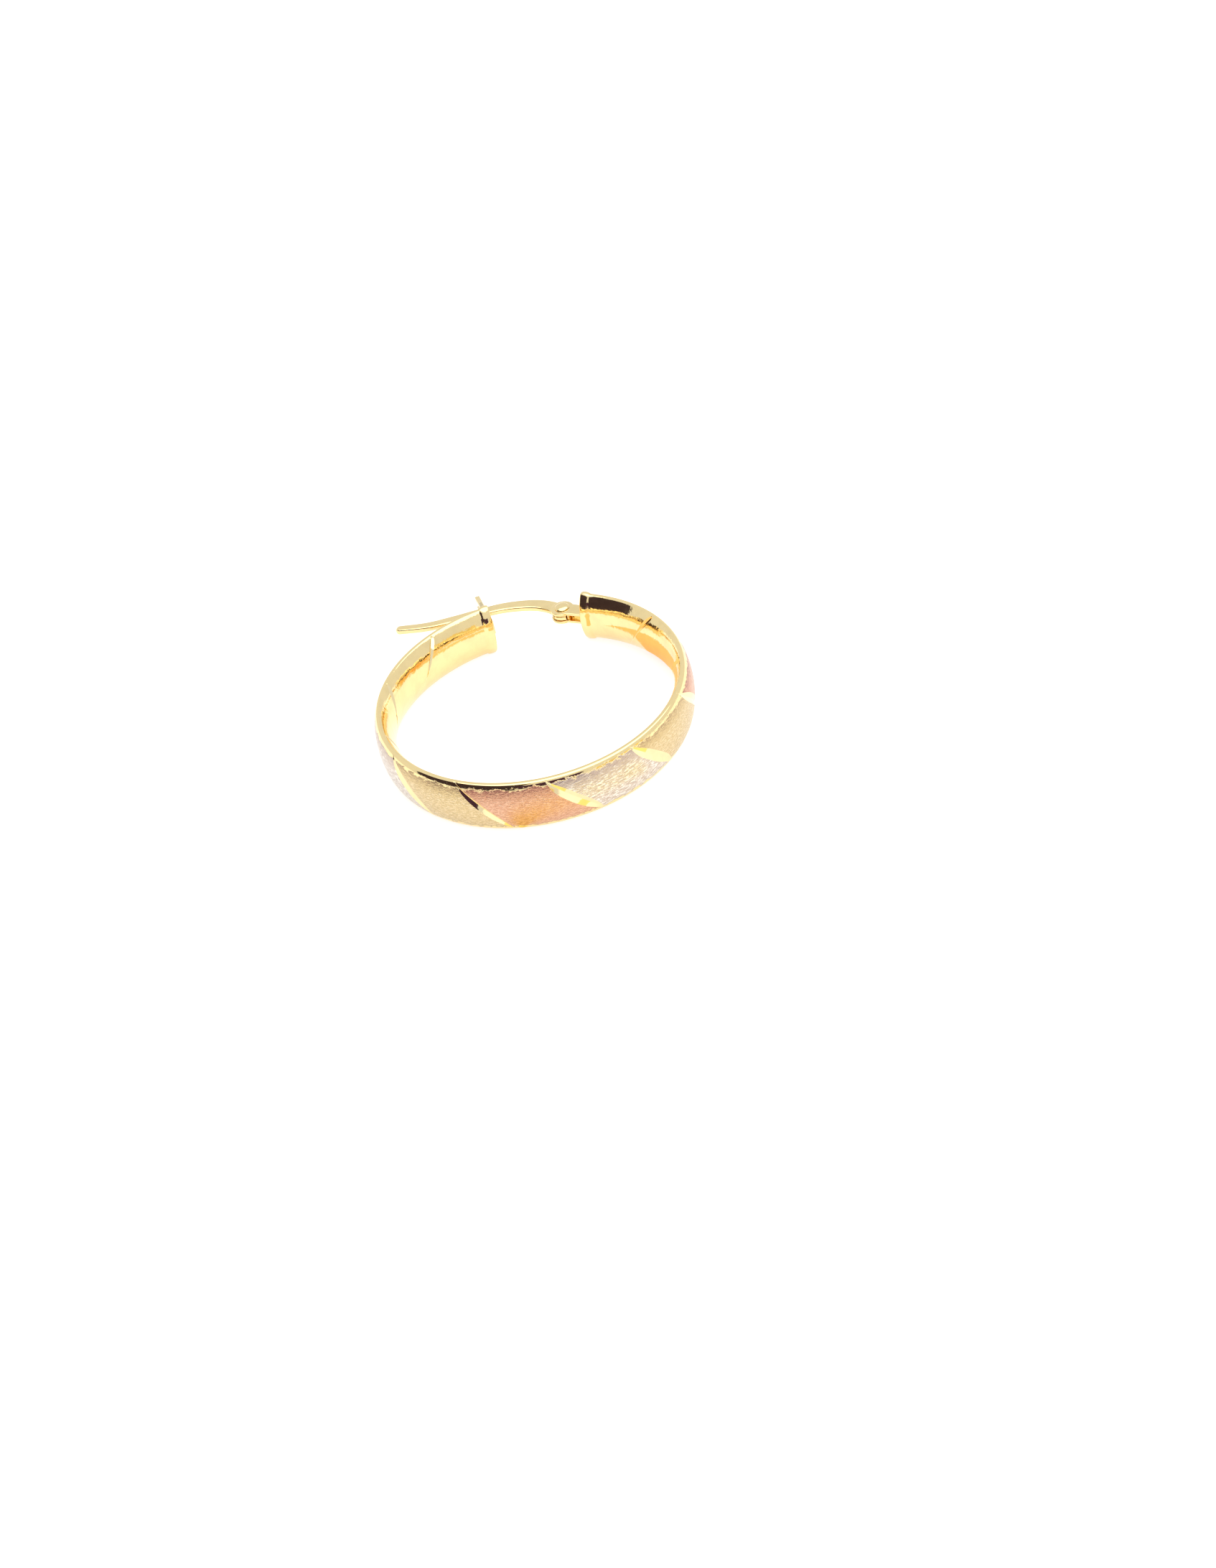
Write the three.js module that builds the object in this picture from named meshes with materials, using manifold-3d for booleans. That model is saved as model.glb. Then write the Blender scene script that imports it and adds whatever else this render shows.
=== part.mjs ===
// A hoop earring lying on its side. Lengths are in millimetres, angles in degrees, and +Z is up.
// The hoop is a hollow oval tube bent round the Z axis, open at +Y for the ear lobe. Slanting V cuts
// cross its outer and inner faces. An ear wire, hinged at one end of the tube, bridges the gap and
// snaps into a forked catch soldered to the other end.

import * as THREE from 'three';
import { mergeVertices } from 'three/addons/utils/BufferGeometryUtils.js';
import Module from 'manifold-3d';

// Hoop tube. Its oval section is domed more on the inside than on the outside, and a dome's shoulder
// says how it comes down to the rims: 0.5 is an ellipse and 1 a parabola.
const HOOP_DIAMETER = 25;
const TUBE_WIDTH = 4.2;
const OUTER_DOME = 0.625;
const OUTER_SHOULDER = 0.65;
const INNER_DOME = 0.88;
const INNER_SHOULDER = 0.85;
const TUBE_WALL = 0.25;
const RIM_FLAT = 0.24;
const EAR_GAP = 7.6;

// Collars that close the two ends of the tube
const COLLAR_LENGTH = 0.85;
const COLLAR_FLARE = 0.14;
const COLLAR_STEP = 0.16;
const END_WALL = 0.5;
const VENT_DIAMETER = 0.4;
// The ends lean the same way as the cuts, by this share of the cuts' slant
const END_LEAN = 0.04;

// V cuts, slanting at 45 degrees from the upper rim to the lower rim
const OUTER_CUTS = 10;
const CUT_SLANT = 4.2;
const CUT_END_MARGIN = 0.25;
const OUTER_CUT_WIDTH = 1.2;
const OUTER_CUT_DEPTH = 0.17;
const INNER_CUT_WIDTH = 0.6;
const INNER_CUT_DEPTH = 0.13;
const INNER_CUT_SHIFT = 0.68;
const INNER_CUT_LEAN = 0.9;
// The fifth cut from the catch was struck more lightly than the others
const LIGHT_CUT = { number: 5, strength: 0.65 };

// Hinge: two lugs soldered to the tube's end, the wire's eye between them, and a domed rivet
const PIVOT_REACH = 1.92;
const PIVOT_RISE = 0.17;
const LUG_DIAMETER = 1.9;
const LUG_NECK_WIDTH = 1.3;
const LUG_THICKNESS = 0.22;
const LUG_ROOT = 0.35;
const RIVET_PIN_DIAMETER = 0.66;
const RIVET_HEAD_DIAMETER = 1.2;
const RIVET_HEAD_HEIGHT = 0.22;
const EYE_DIAMETER = 1.8;
const EYE_SIDE_PLAY = 0.03;
const EYE_PIN_PLAY = 0.05;
const RIVET_SEAT_GAP = 0.02;

// Ear wire: a flat strip that arches over the gap and runs on past the catch as a tail
const WIRE_THICKNESS = 0.45;
const WIRE_WIDTH_HINGE = 1.3;
const WIRE_WIDTH_CATCH = 0.9;
const WIRE_WIDTH_TIP = 0.7;
const WIRE_EDGE_RADIUS = 0.15;
const WIRE_SEAT_RISE = 2.5;
const ARCH_HEIGHT = 1.0;
const TAIL_LENGTH = 6.6;
const TAIL_DROP = 2.4;

// Catch: a thin plate that stands out of the tube's end and forks round the wire
const FORK_THICKNESS = 0.42;
const FORK_PROUD = 0.22;
const PRONG_WIDTH = 0.33;
const PRONG_LENGTH = 2.2;
const NOTCH_SIDE_PLAY = 0.08;
const NOTCH_SEAT_GAP = 0.06;

// How an outer cut opens and deepens from the upper rim (1) to the lower rim (-1), as shares of its
// full size. valley is where the bottom of the V lies between the middle (0) and the edges (-1 and 1).
const OUTER_CUT_FORM = [
  { height: 1, share: 0.06, valley: -0.15 },
  { height: 0.8, share: 0.3, valley: -0.1 },
  { height: 0.6, share: 0.68, valley: -0.05 },
  { height: 0.35, share: 0.93, valley: 0.01 },
  { height: 0, share: 1, valley: 0.1 },
  { height: -0.35, share: 0.93, valley: 0.19 },
  { height: -0.6, share: 0.68, valley: 0.25 },
  { height: -0.8, share: 0.3, valley: 0.3 },
  { height: -1, share: 0.06, valley: 0.35 },
];
// An inner cut is widest near the upper rim and thins to a hairline.
const INNER_CUT_FORM = [
  { height: 1, share: 0.4, valley: 0 },
  { height: 0.8, share: 1, valley: 0 },
  { height: 0.4, share: 0.75, valley: 0 },
  { height: 0, share: 0.4, valley: 0 },
  { height: -0.4, share: 0.12, valley: 0 },
  { height: -1, share: 0.1, valley: 0 },
];
// The wire's centre line between pivot and catch, and from the catch to the tip, as shares
const ARCH_FORM = [
  { along: 0.16, rise: 0.65 },
  { along: 0.34, rise: 0.96 },
  { along: 0.59, rise: 0.89 },
  { along: 0.83, rise: 0.5 },
];
const TAIL_FORM = [
  { along: 0.37, drop: 0.49 },
  { along: 0.65, drop: 0.81 },
  { along: 1, drop: 1 },
];

const FACE_STEPS = 8;
const HOLLOW_FACE_STEPS = 5;
const HOLLOW_RINGS = 60;
const RINGS_BETWEEN_CUTS = 2;
const ROUND_SIDES = 24;
const VENT_SIDES = 8;
const WIRE_STEPS = 30;
const POLISHED_GOLD = { color: 0xe6bf6a, roughness: 0.15, metalness: 1 };

// The radius of the tube's rims, from which both domes are measured
const tubeRadius = HOOP_DIAMETER / 2 - OUTER_DOME;
const gapHalfAngle = THREE.MathUtils.radToDeg(Math.asin(EAR_GAP / 2 / tubeRadius));
const catchAngle = 90 + gapHalfAngle;
const hingeAngle = 360 + 90 - gapHalfAngle;

const wasm = await Module();
wasm.setup();

// Degrees of the hoop that a length covers, measured on a circle of the given radius.
function degreesOf(length, radius) {
  return THREE.MathUtils.radToDeg(length / radius);
}

// A cut's form at one height, read from a table whose rows run from the upper rim to the lower rim.
function formAt(form, height) {
  const inside = THREE.MathUtils.clamp(height, -1, 1);
  const below = Math.max(form.findIndex((row) => row.height <= inside), 1);
  const [upper, lower] = [form[below - 1], form[below]];
  const t = (upper.height - inside) / (upper.height - lower.height);
  return {
    share: THREE.MathUtils.lerp(upper.share, lower.share, t),
    valley: THREE.MathUtils.lerp(upper.valley, lower.valley, t),
  };
}

// A closed body through rings of points, all with the same count, and a flat face on each end.
function loft(rings) {
  const count = rings[0].length;
  const last = (rings.length - 1) * count;
  const index = [];
  for (let start = 0; start < last; start += count) {
    for (let i = 0; i < count; i++) {
      const next = (i + 1) % count;
      index.push(start + i, start + next, start + count + next);
      index.push(start + i, start + count + next, start + count + i);
    }
  }
  for (let i = 1; i < count - 1; i++) {
    index.push(0, i + 1, i);
    index.push(last, last + i, last + i + 1);
  }
  const geometry = new THREE.BufferGeometry();
  geometry.setAttribute('position', new THREE.Float32BufferAttribute(rings.flat().flatMap((p) => [...p]), 3));
  geometry.setIndex(index);
  return geometry;
}

// A closed geometry as a solid that can be joined and cut.
function solidOf(geometry) {
  const plain = geometry.clone();
  plain.deleteAttribute('normal');
  plain.deleteAttribute('uv');
  const merged = mergeVertices(plain, 1e-4);
  return new wasm.Manifold(new wasm.Mesh({
    numProp: 3,
    vertProperties: merged.attributes.position.array,
    triVerts: new Uint32Array(merged.index.array),
  }));
}

function meshOf(solid, name, material) {
  const { vertProperties, triVerts } = solid.getMesh();
  const geometry = new THREE.BufferGeometry();
  geometry.setAttribute('position', new THREE.BufferAttribute(new Float32Array(vertProperties), 3));
  geometry.setIndex(new THREE.BufferAttribute(new Uint32Array(triVerts), 1));
  geometry.computeVertexNormals();
  const mesh = new THREE.Mesh(geometry, new THREE.MeshStandardMaterial(material));
  mesh.name = name;
  return mesh;
}

// The oval section with its rim flats, grown on all sides: down the outer face, then up the inner face.
// z runs along the hoop's axis, out points away from it, and height is z as a share of the half width.
function ovalSection(growth, steps) {
  const halfWidth = TUBE_WIDTH / 2 + growth;
  const faces = [
    { side: 1, dome: OUTER_DOME + growth, shoulder: OUTER_SHOULDER },
    { side: -1, dome: INNER_DOME + growth, shoulder: INNER_SHOULDER },
  ];
  const points = [];
  for (const { side, dome, shoulder } of faces) {
    for (let i = 0; i <= steps; i++) {
      const height = side * Math.cos(Math.PI * i / steps);
      const rise = (dome - RIM_FLAT / 2) * Math.max(0, 1 - height * height) ** shoulder;
      points.push({ z: halfWidth * height, out: side * (RIM_FLAT / 2 + rise), height });
    }
  }
  return points;
}

function pointOnHoop(degrees, radius, z) {
  const angle = THREE.MathUtils.degToRad(degrees);
  return new THREE.Vector3(radius * Math.cos(angle), radius * Math.sin(angle), z);
}

// The places along the tube where a ring of its surface lies, from the catch round to the hinge.
// slant is the share of the full slant, flare stands proud of the tube, and a ring that belongs to a
// cut says which face is cut, how strongly, and whether it is the valley or the edge on one side of it.
function hoopStations() {
  const collar = degreesOf(COLLAR_LENGTH, tubeRadius);
  const step = degreesOf(COLLAR_STEP, tubeRadius);
  const halfSlant = degreesOf(CUT_SLANT / 2, HOOP_DIAMETER / 2);
  const firstCut = catchAngle + collar + degreesOf(CUT_END_MARGIN, HOOP_DIAMETER / 2) + halfSlant;
  const lastCut = hingeAngle - (firstCut - catchAngle);
  const pitch = (lastCut - firstCut) / (OUTER_CUTS - 1);
  const innerShift = pitch / 2 + degreesOf(INNER_CUT_SHIFT, HOOP_DIAMETER / 2);

  const cuts = [];
  for (let number = 1; number <= OUTER_CUTS; number++) {
    const degrees = firstCut + (number - 1) * pitch;
    const strength = number === LIGHT_CUT.number ? LIGHT_CUT.strength : 1;
    cuts.push({ degrees, face: 'outer', strength });
    if (number < OUTER_CUTS) cuts.push({ degrees: degrees + innerShift, face: 'inner', strength: 1 });
  }
  const stations = [
    { degrees: catchAngle, slant: END_LEAN, flare: COLLAR_FLARE },
    { degrees: catchAngle + collar - step, slant: END_LEAN, flare: COLLAR_FLARE },
    { degrees: catchAngle + collar, slant: END_LEAN, flare: 0 },
  ];
  const spreadTo = (degrees, slant) => {
    const before = stations.at(-1);
    for (let k = 1; k <= RINGS_BETWEEN_CUTS; k++) {
      const t = k / (RINGS_BETWEEN_CUTS + 1);
      stations.push({
        degrees: THREE.MathUtils.lerp(before.degrees, degrees, t),
        slant: THREE.MathUtils.lerp(before.slant, slant, t),
        flare: 0,
      });
    }
  };
  for (const { degrees, face, strength } of cuts) {
    const slant = face === 'inner' ? INNER_CUT_LEAN : 1;
    spreadTo(degrees, slant);
    for (const side of [-1, 0, 1]) stations.push({ degrees, slant, flare: 0, face, strength, side });
  }
  spreadTo(hingeAngle - collar, END_LEAN);
  stations.push({ degrees: hingeAngle - collar, slant: END_LEAN, flare: 0 });
  stations.push({ degrees: hingeAngle - collar + step, slant: END_LEAN, flare: COLLAR_FLARE });
  stations.push({ degrees: hingeAngle, slant: END_LEAN, flare: COLLAR_FLARE });
  return stations;
}

// How far a cut's ring lies from the cut's middle, along the hoop, and how deep its valley is.
function cutAt(station, height) {
  const outer = station.face === 'outer';
  const { share, valley } = formAt(outer ? OUTER_CUT_FORM : INNER_CUT_FORM, height);
  const size = share * station.strength;
  const halfWidth = size * (outer ? OUTER_CUT_WIDTH : INNER_CUT_WIDTH) / 2;
  const onRim = Math.abs(height) > 0.999;
  return {
    shift: halfWidth * (station.side || valley),
    depth: station.side || onRim ? 0 : size * (outer ? OUTER_CUT_DEPTH : INNER_CUT_DEPTH),
  };
}

// One ring of the tube's surface, sheared so that its points follow the slant of the cuts.
function hoopRing(station) {
  const halfSlant = degreesOf(CUT_SLANT / 2, HOOP_DIAMETER / 2);
  return ovalSection(station.flare, FACE_STEPS).map(({ z, out, height }) => {
    let degrees = station.degrees - station.slant * halfSlant * height;
    let radius = tubeRadius + out;
    if (station.face) {
      const { shift, depth } = cutAt(station, height);
      const onCutFace = (station.face === 'outer') === (out > 0);
      degrees += degreesOf(shift, HOOP_DIAMETER / 2);
      radius -= onCutFace ? Math.sign(out) * depth : 0;
    }
    return pointOnHoop(degrees, radius, z);
  });
}

function tubeOuterBody() {
  return solidOf(loft(hoopStations().map(hoopRing)));
}

// The hollow inside the tube, which stops short of the ends by the thickness of their walls.
function tubeHollow() {
  const endAngle = degreesOf(END_WALL, tubeRadius);
  const section = ovalSection(-TUBE_WALL, HOLLOW_FACE_STEPS);
  const rings = [];
  for (let i = 0; i <= HOLLOW_RINGS; i++) {
    const degrees = THREE.MathUtils.lerp(catchAngle + endAngle, hingeAngle - endAngle, i / HOLLOW_RINGS);
    rings.push(section.map(({ z, out }) => pointOnHoop(degrees, tubeRadius + out, z)));
  }
  return solidOf(loft(rings));
}

// The middle of an end face, with the direction that leads out of it and the one away from the hoop's axis.
function endFrame(degrees, outwardSign) {
  const centre = pointOnHoop(degrees, tubeRadius, 0);
  const rise = centre.clone().normalize();
  const outward = new THREE.Vector3(-rise.y, rise.x, 0).multiplyScalar(outwardSign);
  return { centre, rise, outward };
}

const hingeEnd = endFrame(hingeAngle, 1);
const catchEnd = endFrame(catchAngle, -1);
const pivot = hingeEnd.centre.clone()
  .addScaledVector(hingeEnd.outward, PIVOT_REACH)
  .addScaledVector(hingeEnd.rise, PIVOT_RISE);
const seat = catchEnd.centre.clone()
  .addScaledVector(catchEnd.outward, FORK_PROUD - FORK_THICKNESS / 2)
  .addScaledVector(catchEnd.rise, WIRE_SEAT_RISE);

// A round bar along Z, centred on the given point.
function uprightBar(diameter, length, centre) {
  const bar = new THREE.CylinderGeometry(diameter / 2, diameter / 2, length, ROUND_SIDES);
  bar.rotateX(Math.PI / 2);
  bar.translate(centre.x, centre.y, centre.z);
  return solidOf(bar);
}

// The small hole, hidden between the lugs, that lets the hollow breathe while the ends are soldered.
function ventHole() {
  const radius = VENT_DIAMETER / 2;
  const drill = new THREE.CylinderGeometry(radius, radius, 3 * END_WALL, VENT_SIDES, 1, false, Math.PI / VENT_SIDES);
  drill.applyQuaternion(new THREE.Quaternion().setFromUnitVectors(new THREE.Vector3(0, 1, 0), hingeEnd.outward));
  drill.translate(...hingeEnd.centre);
  return solidOf(drill);
}

// Both lugs: a round head at the pivot and a neck that runs back into the tube's end wall.
function hingeLugs() {
  const back = hingeEnd.centre.clone().sub(pivot);
  const reach = back.length() + LUG_ROOT;
  const head = LUG_DIAMETER / 2;
  const neck = LUG_NECK_WIDTH / 2;
  const neckAngle = Math.asin(neck / head);
  const outline = new THREE.Shape();
  outline.moveTo(reach, -neck);
  outline.lineTo(head * Math.cos(neckAngle), -neck);
  outline.absarc(0, 0, head, -neckAngle, neckAngle, true);
  outline.lineTo(reach, neck);
  outline.closePath();
  const upright = new THREE.Quaternion().setFromAxisAngle(new THREE.Vector3(0, 0, 1), Math.atan2(back.y, back.x));
  const lowest = { upper: lugInnerHeight(), lower: -lugInnerHeight() - LUG_THICKNESS };
  const [upper, lower] = Object.values(lowest).map((z) => {
    const plate = new THREE.ExtrudeGeometry(outline, {
      depth: LUG_THICKNESS, bevelEnabled: false, curveSegments: ROUND_SIDES,
    });
    plate.applyQuaternion(upright);
    plate.translate(pivot.x, pivot.y, z);
    return solidOf(plate);
  });
  return upper.add(lower);
}

function lugInnerHeight() {
  return WIRE_THICKNESS / 2 + EYE_SIDE_PLAY;
}

// The forked plate of the catch, drawn across the wire: rise away from the hoop, then height.
function catchFork() {
  const notch = WIRE_THICKNESS / 2 + NOTCH_SIDE_PLAY;
  const side = notch + PRONG_WIDTH;
  const notchFloor = WIRE_SEAT_RISE - WIRE_WIDTH_CATCH / 2 - NOTCH_SEAT_GAP;
  const tip = notchFloor + PRONG_LENGTH - PRONG_WIDTH / 2;
  const outline = new THREE.Shape();
  outline.moveTo(0, -side);
  outline.lineTo(tip, -side);
  outline.absarc(tip, -side + PRONG_WIDTH / 2, PRONG_WIDTH / 2, -Math.PI / 2, Math.PI / 2, false);
  outline.lineTo(notchFloor, -notch);
  outline.lineTo(notchFloor, notch);
  outline.lineTo(tip, notch);
  outline.absarc(tip, side - PRONG_WIDTH / 2, PRONG_WIDTH / 2, -Math.PI / 2, Math.PI / 2, false);
  outline.lineTo(0, side);
  outline.closePath();
  const plate = new THREE.ExtrudeGeometry(outline, {
    depth: FORK_THICKNESS, bevelEnabled: false, curveSegments: 6,
  });
  const corner = catchEnd.centre.clone().addScaledVector(catchEnd.outward, FORK_PROUD - FORK_THICKNESS);
  const up = new THREE.Vector3(0, 0, 1);
  plate.applyMatrix4(new THREE.Matrix4().makeBasis(catchEnd.rise, up, catchEnd.outward));
  plate.translate(...corner);
  return solidOf(plate);
}

function hoop() {
  const lugHole = uprightBar(RIVET_PIN_DIAMETER + 2 * RIVET_SEAT_GAP, TUBE_WIDTH, pivot);
  const solid = tubeOuterBody()
    .subtract(tubeHollow())
    .subtract(ventHole())
    .add(hingeLugs().subtract(lugHole))
    .add(catchFork());
  return meshOf(solid, 'hoop', POLISHED_GOLD);
}

// The rivet: a plain pin with a domed head on each side of the lugs, turned about its own axis.
function hingeRivet() {
  const pin = RIVET_PIN_DIAMETER / 2;
  const head = RIVET_HEAD_DIAMETER / 2;
  const under = lugInnerHeight() + LUG_THICKNESS + RIVET_SEAT_GAP;
  const top = under + RIVET_HEAD_HEIGHT;
  const dome = [
    [pin, under],
    [head, under],
    [head * 0.94, under + RIVET_HEAD_HEIGHT * 0.45],
    [head * 0.7, under + RIVET_HEAD_HEIGHT * 0.8],
    [head * 0.35, under + RIVET_HEAD_HEIGHT * 0.97],
    [0, top],
  ];
  const lower = dome.map(([radius, z]) => [radius, -z]).reverse();
  const profile = [...lower, ...dome].map(([radius, z]) => new THREE.Vector2(radius, z));
  const turned = new THREE.LatheGeometry(profile, ROUND_SIDES);
  turned.rotateX(Math.PI / 2);
  const mesh = meshOf(solidOf(turned), 'hinge_rivet', POLISHED_GOLD);
  mesh.position.copy(pivot);
  return mesh;
}

// The wire's centre line, measured from the pivot.
function wireCentreLine() {
  const chord = seat.clone().sub(pivot);
  const span = chord.length();
  const along = chord.clone().normalize();
  const rise = new THREE.Vector3(along.y, -along.x, 0);
  const at = (distance, height) => along.clone().multiplyScalar(distance).addScaledVector(rise, height);
  const arch = ARCH_FORM.map((row) => at(row.along * span, row.rise * ARCH_HEIGHT));
  const tail = TAIL_FORM.map((row) => at(span + row.along * TAIL_LENGTH, -row.drop * TAIL_DROP));
  const points = [new THREE.Vector3(), ...arch, chord, ...tail];
  return { curve: new THREE.CatmullRomCurve3(points), seatShare: (arch.length + 1) / (points.length - 1) };
}

// A flat strip's section with rounded edges, across the wire at one place.
function stripSection(centre, across, halfWidth) {
  const halfHeight = WIRE_THICKNESS / 2;
  const radius = Math.min(WIRE_EDGE_RADIUS, halfWidth * 0.9);
  const flatEdge = halfHeight - WIRE_EDGE_RADIUS;
  const ring = [];
  for (let corner = 0; corner < 4; corner++) {
    const sideways = corner === 0 || corner === 3 ? 1 : -1;
    const upward = corner < 2 ? 1 : -1;
    for (let k = 0; k <= 2; k++) {
      const angle = (corner + k / 2) * Math.PI / 2;
      const offset = sideways * (halfWidth - radius) + radius * Math.cos(angle);
      const z = upward * flatEdge + WIRE_EDGE_RADIUS * Math.sin(angle);
      ring.push(centre.clone().addScaledVector(across, offset).setZ(z));
    }
  }
  return ring;
}

function wireStrip() {
  const { curve, seatShare } = wireCentreLine();
  const rings = [];
  const addRing = (centre, tangent, halfWidth) => {
    const across = new THREE.Vector3(-tangent.y, tangent.x, 0);
    rings.push(stripSection(centre, across, halfWidth));
  };
  for (let i = 0; i <= WIRE_STEPS; i++) {
    const share = i / WIRE_STEPS;
    const width = share < seatShare
      ? THREE.MathUtils.lerp(WIRE_WIDTH_HINGE, WIRE_WIDTH_CATCH, share / seatShare)
      : THREE.MathUtils.lerp(WIRE_WIDTH_CATCH, WIRE_WIDTH_TIP, (share - seatShare) / (1 - seatShare));
    addRing(curve.getPoint(share), curve.getTangent(share), width / 2);
  }
  const end = curve.getPoint(1);
  const tangent = curve.getTangent(1);
  for (const turn of [30, 55, 75]) {
    const angle = THREE.MathUtils.degToRad(turn);
    const centre = end.clone().addScaledVector(tangent, WIRE_WIDTH_TIP / 2 * Math.sin(angle));
    addRing(centre, tangent, WIRE_WIDTH_TIP / 2 * Math.cos(angle));
  }
  return solidOf(loft(rings));
}

function earWire() {
  const origin = new THREE.Vector3();
  const eye = uprightBar(EYE_DIAMETER, WIRE_THICKNESS, origin);
  const bore = uprightBar(RIVET_PIN_DIAMETER + 2 * EYE_PIN_PLAY, TUBE_WIDTH, origin);
  const mesh = meshOf(wireStrip().add(eye).subtract(bore), 'ear_wire', POLISHED_GOLD);
  mesh.position.copy(pivot);
  return mesh;
}

// The origin is the middle of the earring's box, on the surface that it lies on.
const earring = new THREE.Group();
earring.add(hoop(), hingeRivet(), earWire());
const box = new THREE.Box3().setFromObject(earring, true);
const middle = box.getCenter(new THREE.Vector3());
earring.position.set(-middle.x, -middle.y, -box.min.z);

const part = new THREE.Group();
part.add(earring);

export default part;
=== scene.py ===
# %% [markdown]
# # A three-colour hoop earring, lying on its side
#
# The earring is a hollow tube with an oval section, bent into an open ring. Its outside is divided by
# slanting bright cuts into panels of satin white, yellow and rose gold, and its inside is polished. A
# flat ear wire turns on a rivet at one end of the tube and snaps into a small fork at the other end.
#
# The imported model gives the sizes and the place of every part. The pieces below are finer versions of
# those parts: they have the same sizes, but smooth surfaces, rounded edges and real finishes.

# %% The frame
import math

import bmesh
import bpy
from mathutils import Matrix, Vector


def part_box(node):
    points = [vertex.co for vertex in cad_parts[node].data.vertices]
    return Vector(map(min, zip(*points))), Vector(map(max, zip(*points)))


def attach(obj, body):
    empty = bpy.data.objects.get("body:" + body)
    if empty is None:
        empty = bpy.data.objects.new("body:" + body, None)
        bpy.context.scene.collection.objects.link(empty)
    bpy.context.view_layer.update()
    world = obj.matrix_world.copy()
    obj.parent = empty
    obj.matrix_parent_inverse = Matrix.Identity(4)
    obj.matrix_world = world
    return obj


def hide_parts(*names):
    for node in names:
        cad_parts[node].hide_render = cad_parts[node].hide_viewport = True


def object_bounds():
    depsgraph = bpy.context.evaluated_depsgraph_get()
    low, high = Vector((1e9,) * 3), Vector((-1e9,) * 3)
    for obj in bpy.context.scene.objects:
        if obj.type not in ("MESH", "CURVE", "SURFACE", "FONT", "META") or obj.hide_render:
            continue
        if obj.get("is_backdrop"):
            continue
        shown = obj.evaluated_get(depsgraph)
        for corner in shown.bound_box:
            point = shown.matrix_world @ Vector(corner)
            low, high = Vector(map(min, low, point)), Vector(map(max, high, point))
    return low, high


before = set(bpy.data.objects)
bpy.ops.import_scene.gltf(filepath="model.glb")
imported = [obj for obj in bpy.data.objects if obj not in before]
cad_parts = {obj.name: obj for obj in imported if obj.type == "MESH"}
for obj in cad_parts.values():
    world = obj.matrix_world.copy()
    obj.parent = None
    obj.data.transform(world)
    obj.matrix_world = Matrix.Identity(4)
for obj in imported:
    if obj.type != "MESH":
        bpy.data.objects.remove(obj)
cad_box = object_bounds()

# %% [markdown]
# ## Sizes of the tube
#
# All sizes are in millimetres and degrees, as a goldsmith would write them, and a finished piece is
# scaled to metres once, at its end. Angles run round the hoop's axis, anticlockwise seen from above.
# The tube starts at the catch, to the left of the ear gap, and goes round the front to the hinge.

# %% Tube
MM = 0.001
HOOP_DIAMETER = 25.0
TUBE_WIDTH = 4.2
OUTER_DOME = 0.625
INNER_DOME = 0.88
RIM_FLAT = 0.24
EAR_GAP = 7.6
COLLAR_LENGTH = 0.85

HALF_WIDTH = TUBE_WIDTH / 2
OUTER_RADIUS = HOOP_DIAMETER / 2
TUBE_RADIUS = OUTER_RADIUS - OUTER_DOME
GAP_HALF_ANGLE = math.degrees(math.asin(EAR_GAP / 2 / TUBE_RADIUS))
CATCH_ANGLE = 90 + GAP_HALF_ANGLE
HINGE_ANGLE = 450 - GAP_HALF_ANGLE
print(f"the tube runs from {CATCH_ANGLE:.1f} to {HINGE_ANGLE:.1f} degrees")


# %% [markdown]
# ## Where the hoop's axis stands
#
# The hinge is the one place that every part refers to. Its rivet is a turned part, so the middle of its
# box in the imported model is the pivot. The pivot's distance from the hoop's axis follows from the
# tube's end, and the two together say where the axis is in the shared frame.

# %% Directions at a tube end, and the pivot
PIVOT_REACH = 1.92
PIVOT_RISE = 0.17


def on_hoop(degrees, radius, z=0.0):
    angle = math.radians(degrees)
    return Vector((radius * math.cos(angle), radius * math.sin(angle), z))


def tube_end(degrees, outward_sign):
    """The middle of an end face, the direction away from the axis, and the one out of the face."""
    centre = on_hoop(degrees, TUBE_RADIUS)
    rise = centre.normalized()
    outward = Vector((-rise.y, rise.x, 0)) * outward_sign
    return centre, rise, outward


hinge_centre, hinge_rise, hinge_outward = tube_end(HINGE_ANGLE, 1)
catch_centre, catch_rise, catch_outward = tube_end(CATCH_ANGLE, -1)
pivot = hinge_centre + hinge_outward * PIVOT_REACH + hinge_rise * PIVOT_RISE
rivet_low, rivet_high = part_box("hinge_rivet")
hoop_centre = (rivet_low + rivet_high) / 2 - pivot * MM
print("hoop axis at", [round(x / MM, 3) for x in hoop_centre], "mm")

# %% [markdown]
# ## The camera
#
# It looks down at the lying hoop from a little to the right of straight ahead, tipped to one side.
# The turns are written one after another: round the hoop's axis, up from the table, and a roll about
# the line of sight. The last shift puts the hoop in the upper left of the picture.

# %% Camera
CAMERA_TURN = 8.25
CAMERA_ELEVATION = 38.35
CAMERA_ROLL = -12.86
CAMERA_DISTANCE = 189.3
CAMERA_ASIDE = 5.689
CAMERA_BELOW = -6.051
CAMERA_LENS = 56.18
SENSOR = 36.0


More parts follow.
